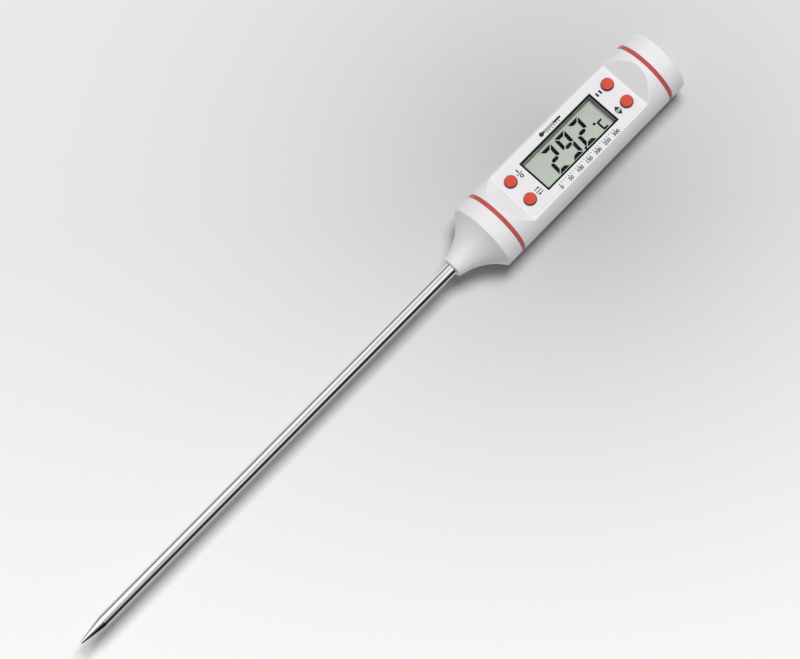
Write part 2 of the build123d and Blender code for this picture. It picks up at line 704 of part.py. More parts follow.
def make_screw(x, z):
    """Pan-head screw with a cross recess, driven from behind the board."""
    head_y = BOARD_BACK_Y + SCREW_HEAD
    head = stud(SCREW_HEAD_R, BOARD_BACK_Y, head_y, x, z)
    head = fillet(head.edges().sort_by(Axis.Y)[-1], SCREW_HEAD_EDGE_R)
    screw = head + stud(SCREW_R, BOARD_FRONT_Y - SCREW_REACH, BOARD_BACK_Y, x, z)
    long, short = RECESS_HALF_LENGTH, RECESS_HALF_WIDTH
    for wide, tall in ((long, short), (short, long)):
        floor_y = BOARD_BACK_Y + RECESS_FLOOR
        screw -= block(x - wide, x + wide, floor_y, head_y + OVERCUT, z - tall, z + tall)
    return screw.solid()


def make_blob():
    """Low dome of resin over the bonded chip."""
    r = (BLOB_R ** 2 + BLOB_RISE ** 2) / 2 / BLOB_RISE
    ball = Pos(0, BOARD_BACK_Y + BLOB_RISE - r, BLOB_Z) * Sphere(r)
    return (ball & block(-r, r, BOARD_BACK_Y, BOARD_BACK_Y + r, BLOB_Z - r, BLOB_Z + r)).solid()


def make_smd_parts():
    """Rows of chip resistors and capacitors on the back of the board."""
    chips = []
    for z, length in CHIP_ROWS.items():
        for x in CHIP_COLUMNS:
            chip = Box(length, CHIP_HEIGHT, CHIP_WIDTH)
            chips.append(Pos(x, BOARD_BACK_Y + CHIP_HEIGHT / 2, z) * chip)
    return Compound(children=chips)


def make_crystal():
    """Small cylindrical crystal can lying along the board."""
    can = rod(CRYSTAL_R, CRYSTAL_Z_LOW, CRYSTAL_Z_HIGH, x=CRYSTAL_X, y=BOARD_BACK_Y + CRYSTAL_R)
    return fillet(can.edges().filter_by(GeomType.CIRCLE), CRYSTAL_EDGE_R)


def add_board():
    PARTS["circuit_board"] = make_board()
    PARTS["board_screws"] = Compound(children=[make_screw(x, z) for x, z in screw_places()])
    PARTS["controller_blob"] = make_blob()
    PARTS["crystal_can"] = make_crystal()
    PARTS["smd_parts"] = make_smd_parts()


# ---- battery ----

def make_carrier():
    """Cup for the cell, with a spring well below it and two legs that grip the top of the board."""
    cup = rod(CUP_R, CUP_Z, CUP_TOP_Z) + rod(WELL_R, BOARD_TOP_Z, CUP_Z)
    front_y = BOARD_FRONT_Y - LEG_GAP
    back_y = BOARD_BACK_Y + LEG_GAP
    cup += block(-LEG_FRONT_HALF_WIDTH, LEG_FRONT_HALF_WIDTH, front_y - LEG, front_y, LEG_FRONT_Z, CUP_Z)
    cup += block(-LEG_BACK_HALF_WIDTH, LEG_BACK_HALF_WIDTH, back_y, back_y + LEG, LEG_BACK_Z, CUP_Z)
    cup -= rod(CUP_BORE_R, CUP_FLOOR_Z, CUP_TOP_Z + OVERCUT)
    cup -= rod(WELL_BORE_R, WELL_FLOOR_Z, CUP_FLOOR_Z + OVERCUT)
    half = STRIP_SLOT_HALF_WIDTH
    cup -= block(-half, half, STRIP_SLOT_Y, CUP_R + OVERCUT, CUP_Z - OVERCUT, CUP_TOP_Z + OVERCUT)
    tab_top = WELL_FLOOR_Z + STRIP + LEG_GAP
    low, high = TAB_X_LOW - TAB_GAP, TAB_X_HIGH + TAB_GAP
    cup -= block(low, high, back_y + LEG, WELL_R + OVERCUT, WELL_FLOOR_Z, tab_top)
    return cup


def make_cell():
    """Button cell: can with a stepped, rounded negative side downwards."""
    can = rod(CELL_R, CELL_Z + CELL_STEP, CELL_Z + CELL_HEIGHT)
    can = fillet(can.edges().filter_by(GeomType.CIRCLE), CELL_EDGE_R)
    lid = rod(CELL_R - CELL_LID_INSET, CELL_Z, CELL_Z + 2 * CELL_STEP)
    lid = fillet(lid.edges().filter_by(GeomType.CIRCLE).sort_by(Axis.Z)[0], CELL_LID_EDGE_R)
    return can + lid


def make_spring():
    """Conical coil under the cell."""
    height = CELL_Z - WELL_FLOOR_Z - STRIP - 2 * WIRE_R
    path = Helix(pitch=height / SPRING_TURNS, height=height, radius=SPRING_R, cone_angle=SPRING_CONE)
    section = Plane(origin=path @ 0, z_dir=path % 0) * Circle(WIRE_R)
    coil = sweep(section, path=path, is_frenet=True)
    return Pos(0, 0, WELL_FLOOR_Z + STRIP + WIRE_R) * coil


def make_positive_strip():
    """Spring strip from the side of the cell, down and across to the board."""
    inner = CELL_R + STRIP_GAP
    outer = inner + STRIP
    foot = STRIP_FOOT_Z + STRIP
    path = [(inner, STRIP_TOP_Z), (outer, STRIP_TOP_Z), (outer, STRIP_FOOT_Z), (0, STRIP_FOOT_Z), (0, foot)]
    path += [(inner, foot), (inner, STRIP_TOP_Z)]
    outline = Polyline(*[(0, y, z) for y, z in path])
    return extrude(make_face(outline), STRIP_HALF_WIDTH, dir=(1, 0, 0), both=True)


def make_negative_tab():
    """Strip under the spring that turns down to the board."""
    top = WELL_FLOOR_Z + STRIP
    plate = rod(WELL_BORE_R - TAB_GAP, WELL_FLOOR_Z, top)
    plate += block(TAB_X_LOW, TAB_X_HIGH, BOARD_BACK_Y + 1, TAB_BACK_Y, WELL_FLOOR_Z, top)
    plate += block(TAB_X_LOW, TAB_X_HIGH, TAB_BACK_Y - STRIP, TAB_BACK_Y, TAB_FOOT_Z, top)
    plate += block(TAB_X_LOW, TAB_X_HIGH, BOARD_BACK_Y, TAB_BACK_Y, TAB_FOOT_Z, TAB_FOOT_Z + STRIP)
    return plate


def add_battery():
    PARTS["battery_carrier"] = make_carrier()
    PARTS["button_cell"] = make_cell()
    PARTS["negative_spring"] = make_spring()
    PARTS["negative_tab"] = make_negative_tab()
    PARTS["positive_strip"] = make_positive_strip()
    PARTS["cap_pressure_pad"] = rod(PAD_R, CELL_Z + CELL_HEIGHT + PAD_GAP, CAP_CEILING_Z)


# ---- probe ----

def make_probe_tube():
    """Steel tube closed by its ground point, thicker above a shoulder that keeps it in the nose."""
    rise = math.atan2(TUBE_R - TIP_R, POINT_Z - TIP_Z)
    round_r = TIP_R * math.cos(rise)
    centre_z = TIP_Z + TIP_R
    shoulder = (round_r, centre_z - TIP_R * math.sin(rise))
    half = math.radians(-45) - rise / 2
    middle = (TIP_R * math.cos(half), centre_z + TIP_R * math.sin(half))
    outer = [(TUBE_R, POINT_Z), (TUBE_R, TUBE_SHOULDER_Z)]
    outer += [(TUBE_SHOULDER_R, TUBE_SHOULDER_Z), (TUBE_SHOULDER_R, TUBE_TOP_Z)]
    inner = [(TUBE_BORE_R, TUBE_TOP_Z), (TUBE_BORE_R, POINT_Z), (TUBE_END_R, TUBE_END_WALL_Z)]
    outline = [ThreePointArc((0, TIP_Z), middle, shoulder), Line(shoulder, outer[0])]
    chain = outer + inner + [(0, TUBE_END_WALL_Z), (0, TIP_Z)]
    outline += [Line(a, b) for a, b in zip(chain, chain[1:])]
    return turned(outline)


def lead_path(side):
    """Run of one sensor lead from the bead to its pad on the back of the board."""
    x = side * LEAD_X
    start = (x, 0, BEAD_Z + BEAD_LENGTH / 2)
    bend = (x, 0, TUBE_TOP_Z + LEAD_BEND)
    pad_y = BOARD_BACK_Y + LEAD_R + LEAD_GAP
    back = (side * LEAD_PAD_X, pad_y, SPIGOT_TOP_Z + 1)
    end = (side * LEAD_PAD_X, pad_y, LEAD_PAD_Z + LEAD_END)
    sway = Spline(bend, back, tangents=[(0, 0, 1), (0, 0, 1)])
    return Wire([Edge.make_line(start, bend), sway.edge(), Edge.make_line(back, end)])


def make_lead(side):
    path = lead_path(side)
    section = Plane(origin=path @ 0, z_dir=path % 0) * Circle(LEAD_R)
    return sweep(section, path=path).solid()


def make_sleeve():
    """Soft tube around both leads, from just above the bead to the top of the nose."""
    low = BEAD_Z + SLEEVE_START
    return rod(SLEEVE_R, low, SLEEVE_TOP_Z) - rod(SLEEVE_BORE_R, low - OVERCUT, SLEEVE_TOP_Z + OVERCUT)


def make_bead():
    """Glass bead of the thermistor."""
    bead = rod(BEAD_R, BEAD_Z - BEAD_LENGTH / 2, BEAD_Z + BEAD_LENGTH / 2)
    return fillet(bead.edges().filter_by(GeomType.CIRCLE), BEAD_EDGE_R)


def make_tip_filler(bead, leads):
    """Heat-conducting compound between the bead and the inside of the point."""
    low = taper(TUBE_END_R, TUBE_BORE_R, TUBE_END_WALL_Z, POINT_Z)
    filler = low + rod(TUBE_BORE_R, POINT_Z, BEAD_Z + FILLER_REACH)
    filler -= bead
    for lead in leads:
        filler -= lead
    return filler.solid()


def make_bush():
    """Crimped collar on the tube, seated in the well of the nose."""
    top = NOSE_WELL_Z + BUSH_LENGTH
    collar = rod(NOSE_WELL_R - BUSH_GAP, NOSE_WELL_Z, NOSE_WELL_Z + BUSH_FLANGE)
    collar += rod(BUSH_R, NOSE_WELL_Z, top)
    return collar - rod(TUBE_SHOULDER_R, NOSE_WELL_Z - OVERCUT, top + OVERCUT)


def make_potting(bush):
    """Resin that fills the nose behind the collar."""
    top = TUBE_TOP_Z - POTTING_DROP
    slope = (SPIGOT_BORE_R - NOSE_WELL_R) / (SPIGOT_FLOOR_Z - NOSE_WELL_Z)
    plug = taper(NOSE_WELL_R, NOSE_WELL_R + slope * (top - NOSE_WELL_Z), NOSE_WELL_Z, top)
    return plug - bush - rod(TUBE_SHOULDER_R, NOSE_WELL_Z - OVERCUT, top + OVERCUT)


def make_solder_joints():
    """Solder over the ends of the sensor leads at the back of the board."""
    joints = []
    low, high = LEAD_PAD_Z - SOLDER_HALF_LENGTH, LEAD_PAD_Z + SOLDER_HALF_LENGTH
    for side in (-1, 1):
        x = side * LEAD_PAD_X
        pad = rod(SOLDER_R, low, high, x=x, y=BOARD_BACK_Y + SOLDER_RISE)
        pad &= block(x - SOLDER_R, x + SOLDER_R, BOARD_BACK_Y, BOARD_BACK_Y + 2 * SOLDER_R, low, high)
        joints.append((pad - make_lead(side)).solid())
    return Compound(children=joints)


def add_probe():
    leads = [make_lead(side) for side in (-1, 1)]
    bead = make_bead()
    bush = make_bush()
    PARTS["probe_tube"] = make_probe_tube()
    PARTS["probe_bush"] = bush
    PARTS["potting_plug"] = make_potting(bush)
    PARTS["thermistor_bead"] = bead
    PARTS["sensor_leads"] = Compound(children=leads)
    PARTS["tip_filler"] = make_tip_filler(bead, leads)
    PARTS["lead_sleeve"] = make_sleeve()
    PARTS["solder_joints"] = make_solder_joints()


def write_parts():
    os.makedirs("parts", exist_ok=True)
    for name, shape in PARTS.items():
        export_step(shape, os.path.join("parts", name + ".step"))


add_handle()
add_display()
add_buttons()
add_board()
add_battery()
add_probe()
write_parts()
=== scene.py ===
import json
import math

import bmesh
import bpy
from mathutils import Matrix, Vector


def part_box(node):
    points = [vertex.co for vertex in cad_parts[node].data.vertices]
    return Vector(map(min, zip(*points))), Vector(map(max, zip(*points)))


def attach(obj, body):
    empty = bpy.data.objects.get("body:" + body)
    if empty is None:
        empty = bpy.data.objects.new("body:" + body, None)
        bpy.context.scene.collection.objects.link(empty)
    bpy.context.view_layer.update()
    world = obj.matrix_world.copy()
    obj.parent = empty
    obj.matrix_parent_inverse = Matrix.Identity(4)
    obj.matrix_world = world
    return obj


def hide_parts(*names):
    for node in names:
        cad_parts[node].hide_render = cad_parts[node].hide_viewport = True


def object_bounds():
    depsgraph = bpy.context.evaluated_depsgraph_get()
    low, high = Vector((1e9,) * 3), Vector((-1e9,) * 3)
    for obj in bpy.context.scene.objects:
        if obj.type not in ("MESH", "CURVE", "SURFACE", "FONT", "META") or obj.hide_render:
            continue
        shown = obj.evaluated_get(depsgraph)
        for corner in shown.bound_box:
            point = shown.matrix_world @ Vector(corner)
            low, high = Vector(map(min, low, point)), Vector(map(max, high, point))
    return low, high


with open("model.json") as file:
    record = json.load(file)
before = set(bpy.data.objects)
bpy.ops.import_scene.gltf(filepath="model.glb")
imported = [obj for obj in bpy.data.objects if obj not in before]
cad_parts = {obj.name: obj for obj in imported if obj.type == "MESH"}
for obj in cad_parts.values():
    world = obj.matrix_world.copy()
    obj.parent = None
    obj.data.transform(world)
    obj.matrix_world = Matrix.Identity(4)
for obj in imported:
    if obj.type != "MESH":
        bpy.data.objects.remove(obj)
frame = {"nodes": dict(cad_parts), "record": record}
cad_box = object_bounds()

MM = 0.001

# ---- camera ----
CAMERA_AZIMUTH = 14.898
CAMERA_ELEVATION = -12.592
CAMERA_DISTANCE = 1.27862
CAMERA_TARGET = Vector((0, 0, 0.043))
CAMERA_TURN = (-2.92097, -0.0812, 44.6796)
CAMERA_LENS = 200.866
CAMERA_SENSOR = 36.0
TRANSPARENT_BOUNCES = 24


# ---- material graphs ----

class Graph:
    """Node tree of one material or world, with short calls for the nodes that are used here."""

    def __init__(self, owner, output="OutputMaterial"):
        owner.use_nodes = True
        self.owner = owner
        self.nodes = owner.node_tree.nodes
        self.links = owner.node_tree.links
        self.nodes.clear()
        self.output = self.nodes.new("ShaderNode" + output)

    def add(self, kind, inputs, **settings):
        node = self.nodes.new("ShaderNode" + kind)
        for name, value in settings.items():
            setattr(node, name, value)
        for name, value in inputs.items():
            self.join(value, node.inputs[name])
        return node

    def join(self, value, socket):
        if isinstance(value, bpy.types.NodeSocket):
            self.links.new(value, socket)
        else:
            socket.default_value = value

    def finish(self, surface):
        self.links.new(surface, self.output.inputs["Surface"])
        return self.owner

    def place(self, stretch=(1, 1, 1)):
        """Place on the object in millimetres, stretched along each axis."""
        point = self.add("TexCoord", {}).outputs["Object"]
        scale = [s / MM for s in stretch]
        return self.add("VectorMath", {0: point, 1: scale}, operation="MULTIPLY").outputs[0]

    def around(self, turns, per_mm):
        """Place on a turned part as (angle, height), for streaks that run along it or around it."""
        axes = self.axes()
        angle = self.math("ARCTAN2", axes["Y"], axes["X"])
        angle = self.math("MULTIPLY", angle, turns)
        height = self.math("MULTIPLY", axes["Z"], per_mm)
        return self.add("CombineXYZ", {"X": angle, "Y": height}).outputs[0]

    def axes(self):
        return self.add("SeparateXYZ", {0: self.place()}).outputs

    def math(self, operation, a, b=0.0, clamp=False):
        return self.add("Math", {0: a, 1: b}, operation=operation, use_clamp=clamp).outputs[0]

    def noise(self, scale, detail=3.0, place=None, rough=0.55):
        inputs = {"Vector": place or self.place(), "Scale": scale, "Detail": detail, "Roughness": rough}
        return self.add("TexNoise", inputs).outputs["Fac"]

    def spread(self, value, low, high, start=0.3, end=0.7):
        """Maps a value between start and end to low and high."""
        inputs = {"Value": value, "From Min": start, "From Max": end, "To Min": low, "To Max": high}
        return self.add("MapRange", inputs).outputs[0]

    def mix(self, factor, a, b):
        return self.add("Mix", {0: factor, 6: a, 7: b}, data_type="RGBA").outputs[2]

    def tint(self, colour, factor):
        """Colour multiplied by a value."""
        grey = self.add("CombineXYZ", {"X": factor, "Y": factor, "Z": factor}).outputs[0]
        return self.add("VectorMath", {0: grey, 1: colour}, operation="MULTIPLY").outputs[0]

    def crevice(self, reach_mm):
        """1 on open surfaces and lower in corners within reach."""
        return self.add("AmbientOcclusion", {"Distance": reach_mm * MM}, samples=6).outputs["AO"]

    def bump(self, height, depth_mm, normal=None):
        inputs = {"Height": height, "Distance": depth_mm * MM, "Strength": 1.0}
        if normal is not None:
            inputs["Normal"] = normal
        return self.add("Bump", inputs).outputs[0]

    def surface(self, colour, roughness, normal=None, **more):
        inputs = {"Base Color": colour, "Roughness": roughness}
        if normal is not None:
            inputs["Normal"] = normal
        for name, value in more.items():
            inputs[name.replace("_", " ")] = value
        return self.finish(self.add("BsdfPrincipled", inputs).outputs[0])


def rgb(red, green, blue):
    return (red, green, blue, 1.0)


def new_graph(name):
    return Graph(bpy.data.materials.new(name))


# ---- materials ----
# Places on the object are in millimetres, as the texture coordinates are.

SEAM_Y = 0.35
BOARD_EDGE = 0.05
BEZEL_PAINTED_LIGHT_Y = (-5.9, -4.9)
PEARL_HALF_WIDTH = 5.0


def white_moulding(name, colour, seam):
    """Satin white plastic with sink, grain, handling marks, painted shade darkening its corners and a
    parting line.
    """
    g = new_graph(name)
    cloud = g.noise(0.09, 2.0)
    grain = g.noise(5.0, 4.0)
    rubs = g.noise(1.0, 3.0, g.place((1.6, 1.6, 0.22)))
    tone = g.math("MULTIPLY", g.spread(cloud, 0.975, 1.0), g.spread(grain, 0.992, 1.0))
    # Painted shade: the colour turns brownish grey in corners that ambient occlusion finds.
    corner_shade = g.spread(g.crevice(0.9), 0.74, 1.0, 0.35, 0.95)
    unshaded = g.tint(colour, tone)
    shade_colour = g.tint((0.60, 0.57, 0.53), tone)
    shade = g.mix(corner_shade, shade_colour, unshaded)
    roughness = g.math("ADD", g.spread(rubs, 0.30, 0.42), g.spread(grain, -0.02, 0.03))
    height = g.math("ADD", g.math("MULTIPLY", cloud, 2.4), g.math("MULTIPLY", grain, 0.16))
    if seam:
        beside = g.math("ABSOLUTE", g.math("ADD", g.axes()["Y"], -SEAM_Y))
        ridge = g.spread(beside, 1.2, 0.0, 0.02, 0.11)
        height = g.math("ADD", height, ridge)
    normal = g.bump(height, 0.02)
    return g.surface(shade, roughness, normal, IOR=1.49, Subsurface_Weight=0.12,
                     Subsurface_Radius=(0.9, 0.8, 0.7), Subsurface_Scale=0.6 * MM,
                     Coat_Weight=0.12, Coat_Roughness=0.22)


def printed_film():
    """Matt film with a fine woven grain and a little dust."""
    g = new_graph("printed_film")
    weave = g.noise(7.0, 2.0, g.place((1.0, 1.0, 0.45)))
    cloud = g.noise(0.15, 2.0)
    dust = g.spread(g.noise(2.3, 5.0), 0.0, 1.0, 0.68, 0.78)
    tone = g.math("MULTIPLY", g.spread(weave, 0.985, 1.0), g.spread(cloud, 0.985, 1.0))
    film = g.tint((0.80, 0.79, 0.815), tone)
    shade = g.mix(g.math("MULTIPLY", dust, 0.25), film, rgb(0.62, 0.60, 0.58))
    return g.surface(shade, g.spread(weave, 0.46, 0.56), g.bump(weave, 0.006), IOR=1.46)


def red_rubber():
    """Dull red rubber with mould flow, pores and pale dust."""
    g = new_graph("red_rubber")
    pores = g.noise(9.0, 3.0)
    flow = g.noise(1.0, 3.0, g.around(3.0, 2.2))
    dust = g.spread(flow, 0.0, 0.22, 0.45, 0.75)
    base = g.tint((0.50, 0.07, 0.06), g.spread(pores, 0.86, 1.06))
    shade = g.mix(dust, base, rgb(0.58, 0.26, 0.24))
    return g.surface(shade, g.spread(pores, 0.42, 0.58), g.bump(pores, 0.02), IOR=1.5,
                     Sheen_Weight=0.15)


def red_button():
    """Satin vermilion plastic, with painted shade darkening the rim of each button and its corners."""
    g = new_graph("red_button")
    grain = g.noise(8.0, 3.0)
    cloud = g.noise(0.6, 2.0)
    # Painted shade: darker in corners and where the surface turns away from the front (-Y).
    edge = g.spread(g.crevice(0.8), 0.5, 1.0, 0.3, 0.9)
    normal = g.add("NewGeometry", {}).outputs["Normal"]
    facing = g.math("MULTIPLY", g.add("SeparateXYZ", {0: normal}).outputs["Y"], -1.0)
    rim_shade = g.math("MULTIPLY", edge, g.spread(facing, 0.3, 1.0, 0.75, 0.995))
    tone = g.math("MULTIPLY", g.spread(cloud, 0.9, 1.03), rim_shade)
    shade = g.tint((0.64, 0.07, 0.042), tone)
    return g.surface(shade, g.spread(grain, 0.28, 0.42), g.bump(grain, 0.006), IOR=1.49,
                     Subsurface_Weight=0.1, Subsurface_Radius=(1.0, 0.25, 0.1),
                     Subsurface_Scale=0.5 * MM)


def plain_plastic(name, colour, rough, grain_per_mm=6.0, depth_mm=0.008):
    """Moulded plastic or rubber with grain, cloudy tone and painted shade in its corners."""
    g = new_graph(name)
    grain = g.noise(grain_per_mm, 3.0)
    cloud = g.noise(0.4, 2.0)
    # Painted shade: the tone darkens in corners that ambient occlusion finds.
    tone = g.math("MULTIPLY", g.spread(cloud, 0.88, 1.05), g.spread(g.crevice(0.7), 0.7, 1.0, 0.3, 0.9))
    shade = g.tint(colour, tone)
    return g.surface(shade, g.spread(grain, rough - 0.06, rough + 0.08), g.bump(grain, depth_mm))


def black_frame():
    """Black moulding round the display: satin on its face, and painted paler down its inner walls as painted
    light from the display.
    """
    g = new_graph("black_frame")
    grain = g.noise(6.0, 3.0)
    # Painted light: the inner walls turn pale grey-green with depth, as if lit by the display.
    depth = g.spread(g.axes()["Y"], 0.0, 1.0, *BEZEL_PAINTED_LIGHT_Y)
    shade = g.mix(depth, rgb(0.003, 0.003, 0.0035), rgb(0.72, 0.78, 0.70))
    shade = g.tint(shade, g.spread(grain, 0.85, 1.1))
    return g.surface(shade, g.spread(grain, 0.32, 0.46), g.bump(grain, 0.005), Specular_IOR_Level=0.12)


def printed_ink(name, colour):
    """Screen-printed ink: even, with faint mesh marks and pinholes."""
    g = new_graph(name)
    mesh = g.noise(14.0, 2.0)
    tone = g.spread(mesh, 0.8, 1.15)
    return g.surface(g.tint(colour, tone), g.spread(mesh, 0.38, 0.5), g.bump(mesh, 0.003),
                     Specular_IOR_Level=0.15)


def clear_sheet(name, tint, mirror_share, smudge, gloss):
    """Thin clear plastic or glass: light passes straight through, and its front skin reflects."""
    g = new_graph(name)
    marks = g.noise(0.8, 4.0, g.place((1.0, 1.0, 0.5)))
    roughness = g.spread(marks, gloss, gloss + smudge, 0.4, 0.75)
    clear = g.add("BsdfTransparent", {"Color": tint}).outputs[0]
    shine = g.add("BsdfGlossy", {"Roughness": roughness}).outputs[0]
    mirror = g.add("Fresnel", {"IOR": 1.45}).outputs[0]
    haze = g.spread(marks, 0.0, 0.0015, 0.45, 0.75)
    front = g.math("SUBTRACT", 1.0, g.add("NewGeometry", {}).outputs["Backfacing"])
    share = g.math("ADD", g.math("MULTIPLY", mirror, mirror_share), haze, clamp=True)
    share = g.math("MULTIPLY", front, share)
    return g.finish(g.add("MixShader", {0: share, 1: clear, 2: shine}).outputs[0])


def lcd_pearl():
    """Grey-green pearl foil behind the liquid crystal, painted lighter towards one side as painted light and
    shade.
    """
    g = new_graph("lcd_pearl")
    sparkle = g.noise(18.0, 2.0)
    cloud = g.noise(0.12, 2.0)
    # Painted light and shade: the foil is darker towards -X and lighter towards +X.
    painted_side_light = g.spread(g.axes()["X"], 0.97, 1.06, -PEARL_HALF_WIDTH, PEARL_HALF_WIDTH)
    tone = g.math("MULTIPLY", g.spread(sparkle, 0.94, 1.05), g.spread(cloud, 0.97, 1.03))
    shade = g.tint((0.545, 0.575, 0.53), g.math("MULTIPLY", tone, painted_side_light))
    return g.surface(shade, g.spread(sparkle, 0.35, 0.5), g.bump(sparkle, 0.002))


def drawn_steel():
    """Polished drawn steel tube: fine streaks along it, faint polishing rings and wipe marks."""
    g = new_graph("drawn_steel")
    streaks = g.noise(1.0, 4.0, g.around(9.0, 0.05))
    rings = g.noise(1.0, 2.0, g.around(0.7, 7.0))
    wipes = g.noise(0.5, 3.0, g.place((1.0, 1.0, 0.12)))
    tone = g.math("MULTIPLY", g.spread(streaks, 0.93, 1.02), g.spread(wipes, 0.95, 1.0))
    shade = g.tint((0.83, 0.83, 0.84), tone)
    roughness = g.math("ADD", g.spread(wipes, 0.09, 0.17), g.spread(streaks, -0.02, 0.03))
    height = g.math("ADD", streaks, g.math("MULTIPLY", rings, 0.3))
    return g.surface(shade, roughness, g.bump(height, 0.0022), Metallic=1.0)


def plated_metal(name, colour, rough):
    """Plated sheet or wire with rolling marks, stains and dulled corners."""
    g = new_graph(name)
    rolled = g.noise(3.0, 4.0, g.place((1.0, 1.0, 0.15)))
    stains = g.noise(0.7, 3.0)
    tone = g.math("MULTIPLY", g.spread(rolled, 0.9, 1.03), g.spread(stains, 0.84, 1.0))
    roughness = g.math("ADD", g.spread(stains, rough, rough + 0.15), g.spread(rolled, -0.03, 0.05))
    return g.surface(g.tint(colour, tone), roughness, g.bump(rolled, 0.004), Metallic=1.0)


def board_laminate():
    """Green solder mask over tracks, with a pale fibreglass edge."""
    g = new_graph("board_laminate")
    cells = g.add("TexVoronoi", {"Vector": g.place((0.9, 0.9, 0.35)), "Scale": 1.0},
                  feature="DISTANCE_TO_EDGE", distance="MANHATTAN")
    track = g.spread(cells.outputs[0], 1.0, 0.0, 0.06, 0.1)
    weave = g.noise(6.0, 2.0)
    mask = g.mix(track, rgb(0.015, 0.10, 0.035), rgb(0.05, 0.26, 0.09))
    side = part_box("circuit_board")[1].x / MM - BOARD_EDGE
    edge = g.math("GREATER_THAN", g.math("ABSOLUTE", g.axes()["X"]), side)
    shade = g.mix(edge, mask, rgb(0.42, 0.40, 0.24))
    height = g.math("ADD", track, g.math("MULTIPLY", weave, 0.2))
    return g.surface(shade, g.spread(weave, 0.25, 0.4), g.bump(height, 0.02))


def poured_resin():
    """Black potting resin with a wavy glossy skin and small bubbles."""
    g = new_graph("poured_resin")
    swell = g.noise(0.5, 2.0)
    bubbles = g.add("TexVoronoi", {"Vector": g.place(), "Scale": 1.6}).outputs["Distance"]
    pits = g.spread(bubbles, 0.0, 1.0, 0.05, 0.2)
    height = g.math("ADD", g.math("MULTIPLY", swell, 6.0), pits)
    return g.surface(g.tint((0.03, 0.03, 0.032), g.spread(swell, 0.8, 1.3)),
                     g.spread(swell, 0.12, 0.28), g.bump(height, 0.03))


def bead_glass():
    """Dark amber glass bead of the sensor."""
    g = new_graph("bead_glass")
    swirl = g.noise(2.5, 4.0)
    shade = g.mix(swirl, rgb(0.10, 0.02, 0.01), rgb(0.42, 0.16, 0.06))
    return g.surface(shade, g.spread(swirl, 0.04, 0.15), g.bump(swirl, 0.01), Coat_Weight=0.5)


def slot_materials():
    """One material for each material slot of the record."""
    return {
        "white_plastic": white_moulding("white_plastic", (0.83, 0.82, 0.845), True),
        "printed_film": printed_film(),
        "red_rubber": red_rubber(),
        "red_plastic": red_button(),
        "black_plastic": plain_plastic("black_plastic", (0.012, 0.012, 0.013), 0.4),
        "seal_epoxy": plain_plastic("seal_epoxy", (0.42, 0.47, 0.42), 0.5),
        "black_foam": plain_plastic("black_foam", (0.02, 0.02, 0.02), 0.75, 10.0, 0.03),
        "clear_plastic": clear_sheet("clear_plastic", rgb(0.985, 0.99, 0.99), 0.2, 0.08, 0.02),
        "lcd_glass": clear_sheet("lcd_glass", rgb(0.985, 0.99, 0.985), 0.03, 0.03, 0.03),
        "lcd_ink": printed_ink("lcd_ink", (0.002, 0.0025, 0.0025)),
        "lcd_reflector": lcd_pearl(),
        "inner_plastic": plain_plastic("inner_plastic", (0.70, 0.69, 0.66), 0.45),
        "board_laminate": board_laminate(),
        "resin": poured_resin(),
        "plated_steel": plated_metal("plated_steel", (0.72, 0.72, 0.70), 0.22),
        "chip_ceramic": plain_plastic("chip_ceramic", (0.25, 0.18, 0.12), 0.6, 9.0, 0.01),
        "sponge": plain_plastic("sponge", (0.10, 0.10, 0.105), 0.85, 4.0, 0.12),
        "polished_steel": drawn_steel(),
        "brass": plated_metal("brass", (0.78, 0.58, 0.27), 0.24),
        "bead_glass": bead_glass(),
        "heat_paste": plain_plastic("heat_paste", (0.78, 0.78, 0.77), 0.55, 2.0, 0.05),
        "lead_insulation": plain_plastic("lead_insulation", (0.72, 0.72, 0.69), 0.4, 5.0, 0.006),
    }


def dress_nodes(materials):
    """Gives each CAD node the material of its slot."""
    for part in frame["record"]["subparts"]:
        node = frame["nodes"][part["node"]]
        node.data.materials.clear()
        node.data.materials.append(materials[part["material_slot"]])


# ---- back of the liquid crystal ----

LCD_BACK_GAP = 0.02
LCD_BACK_EDGE = 0.05


def add_lcd_back(pearl):
    """Rear glass and pearl foil as one slab just behind the digits."""
    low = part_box("lcd_rear_glass")[0]
    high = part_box("lcd_reflector")[1]
    front = low.y + LCD_BACK_GAP * MM
    mesh = bpy.data.meshes.new("lcd_back")
    slab = bmesh.new()
    bmesh.ops.create_cube(slab, size=1.0)
    middle = (Vector((low.x, front, low.z)) + high) / 2
    size = high - Vector((low.x, front, low.z))
    bmesh.ops.scale(slab, vec=size, verts=slab.verts)
    bmesh.ops.translate(slab, vec=middle, verts=slab.verts)
    bmesh.ops.bevel(slab, geom=slab.edges, offset=LCD_BACK_EDGE * MM, segments=2, affect="EDGES")
    slab.to_mesh(mesh)
    slab.free()
    mesh.materials.append(pearl)
    back = bpy.data.objects.new("lcd_back", mesh)
    bpy.context.scene.collection.objects.link(back)
    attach(back, "housing")
    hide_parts("lcd_rear_glass", "lcd_reflector")


# ---- printed marks ----
# A mark is drawn as it reads, u to the right and v upwards, in millimetres. On the panel u runs
# along +Z and v along -X, so a mark is upright when the handle lies with its cap on the right.

INK_THICKNESS = 0.014
LINE = 0.24
FIGURE_BOLD = 0.045
FIGURE_HEIGHT = 1.1
CAPITAL_SHARE = 0.7
MARK_REACH = 3.6
MAX_MIN_MARK_REACH = 3.5
SCALE_SPACING = 0.93
SCALE_STEPS = 24
SCALE_MAJOR = 4
SCALE_FIGURE_STEP = 50
SCALE_INSET = 0.28
SCALE_TICKS = (0.62, 0.36)
SCALE_FIGURE_DROP = 1.4


def bar(u_low, u_high, v_low, v_high):
    return [(u_low, v_low), (u_high, v_low), (u_high, v_high), (u_low, v_high)]


